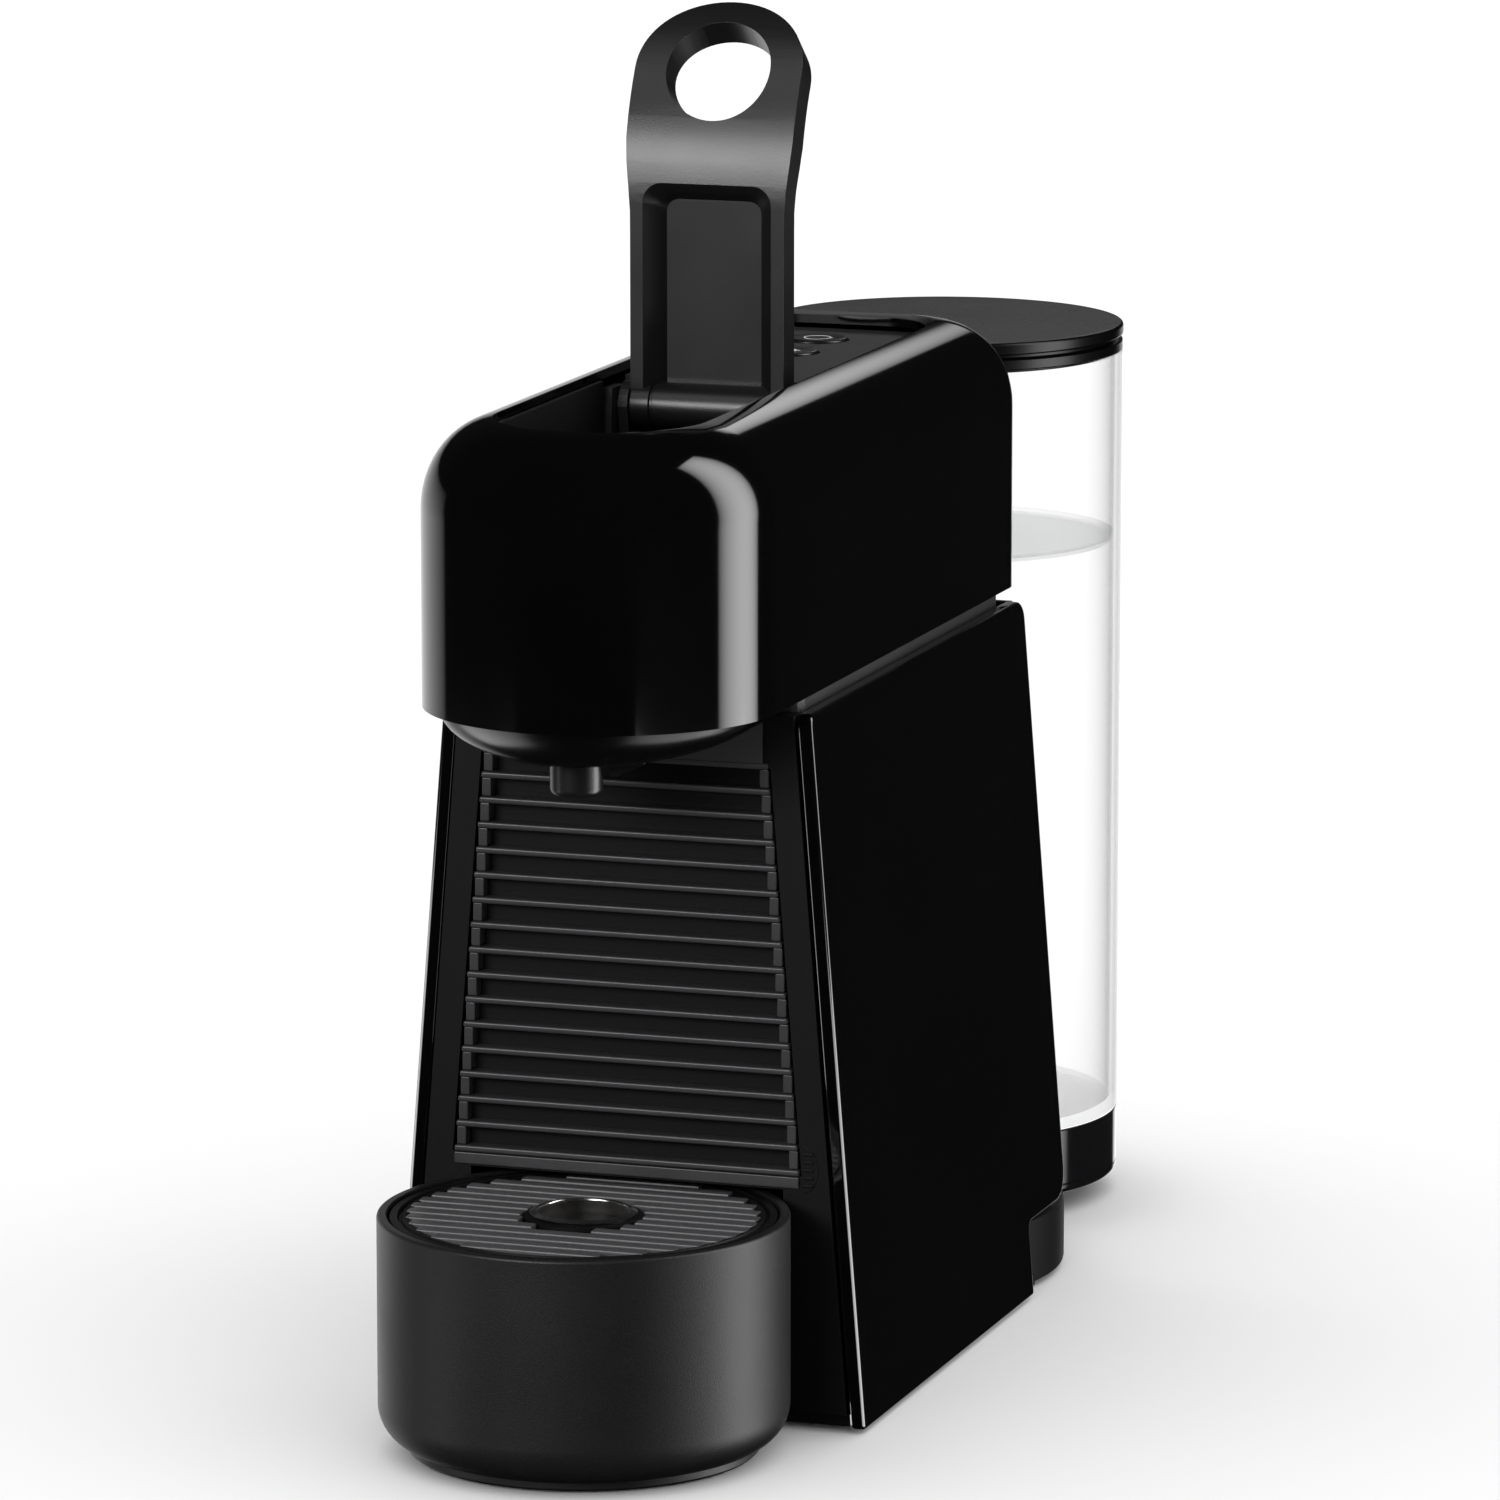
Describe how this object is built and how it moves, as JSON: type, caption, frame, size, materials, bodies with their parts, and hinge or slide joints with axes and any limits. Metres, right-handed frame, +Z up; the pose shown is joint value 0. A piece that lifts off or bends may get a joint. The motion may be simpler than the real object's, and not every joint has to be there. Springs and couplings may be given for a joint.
{
  "type": "pod coffee machine",
  "caption": "Narrow lever pod coffee machine with a half-round nosed head, ribbed front, round drip drum, folding ring lever and a round clear tank on a swinging foot.",
  "frame": {"origin": "on the table plane, under the middle of the whole machine's bounding box", "axes": "+Z up, -Y towards the drip drum and the user, +X to the machine's right as the user faces it"},
  "size_m": [0.1248, 0.3967, 0.3476],
  "materials": {
    "gloss_black": "piano gloss black moulded plastic",
    "satin_black": "satin black moulded plastic",
    "matte_black": "fine textured matte black plastic",
    "drum_black": "fine grained matte black plastic",
    "smoky_plastic": "dark smoky gloss plastic",
    "clear_plastic": "clear polished tank plastic",
    "steel": "brushed stainless steel",
    "cast_metal": "as-cast aluminium",
    "rubber": "matte black rubber",
    "silicone": "translucent silicone hose",
    "circuit_board": "solder-masked circuit board"
  },
  "bodies": {
    "body": {"side_panel_left": "gloss_black", "side_panel_right": "gloss_black", "base_tray": "matte_black", "base_screw_1": "steel", "base_screw_2": "steel", "base_screw_3": "steel", "base_screw_4": "steel", "foot_left": "rubber", "foot_right": "rubber", "foot_rear": "rubber", "front_grille": "matte_black", "rear_cover": "matte_black", "cord_gland": "rubber", "top_deck": "matte_black", "head_housing": "gloss_black", "head_base": "matte_black", "spout_bowl": "gloss_black", "outlet_nozzle": "satin_black", "control_plate": "matte_black", "button_board": "circuit_board", "capsule_bay": "matte_black", "lever_pin": "steel", "capsule_cage": "cast_metal", "brew_cheek_left": "cast_metal", "brew_cheek_right": "cast_metal", "coffee_duct": "satin_black", "capsule_chute": "matte_black", "thermoblock": "cast_metal", "pump": "steel", "pump_mount_front": "rubber", "pump_mount_rear": "rubber", "flow_meter": "satin_black", "control_board": "circuit_board", "hose_tank_to_meter": "silicone", "hose_meter_to_pump": "silicone", "hose_pump_to_heater": "silicone", "hose_heater_to_cage": "silicone"},
    "lever": {"lever": "satin_black", "crank_left": "cast_metal", "crank_right": "cast_metal"},
    "extraction": {"extraction_plate": "cast_metal"},
    "button_small": {"button_small_cup": "satin_black"},
    "button_large": {"button_large_cup": "satin_black"},
    "drawer": {"drip_drum": "drum_black", "drip_grid": "drum_black", "well_ring": "steel", "drawer_sled": "matte_black", "capsule_bin": "matte_black"},
    "arm": {"tank_arm": "matte_black", "arm_foot": "rubber"},
    "tank": {"tank_base": "smoky_plastic", "tank_body": "clear_plastic"},
    "lid": {"tank_lid": "satin_black"},
    "valve": {"tank_valve": "satin_black"}
  },
  "joints": [
    {"name": "lever_hinge", "type": "hinge", "parent": "body", "child": "lever", "pos_m": [0, -0.04835, 0.246], "axis": [1, 0, 0], "range_deg": [0, 88]},
    {"name": "extraction_slide", "type": "slide", "parent": "body", "child": "extraction", "axis": [0, 1, 0], "range_m": [0, 0.012]},
    {"name": "small_cup_press", "type": "slide", "parent": "body", "child": "button_small", "axis": [0, 0, -1], "range_m": [0, 0.001], "stiffness_N_per_m": 300},
    {"name": "large_cup_press", "type": "slide", "parent": "body", "child": "button_large", "axis": [0, 0, -1], "range_m": [0, 0.001], "stiffness_N_per_m": 300},
    {"name": "drawer_slide", "type": "slide", "parent": "body", "child": "drawer", "axis": [0, -1, 0], "range_m": [0, 0.13]},
    {"name": "arm_swing", "type": "hinge", "parent": "body", "child": "arm", "pos_m": [0, 0.05665, 0], "axis": [0, 0, 1], "range_deg": [-40, 40]},
    {"name": "tank_lift", "type": "slide", "parent": "arm", "child": "tank", "axis": [0, 0, 1], "range_m": [0, 0.06]},
    {"name": "lid_lift", "type": "slide", "parent": "tank", "child": "lid", "axis": [0, 0, 1], "range_m": [0, 0.04]},
    {"name": "valve_lift", "type": "slide", "parent": "tank", "child": "valve", "axis": [0, 0, 1], "range_m": [0, 0.002], "stiffness_N_per_m": 150}
  ],
  "couplings": [
    {"joint": "extraction_slide", "follows": "lever_hinge", "m_per_rad": 0.0078}
  ]
}
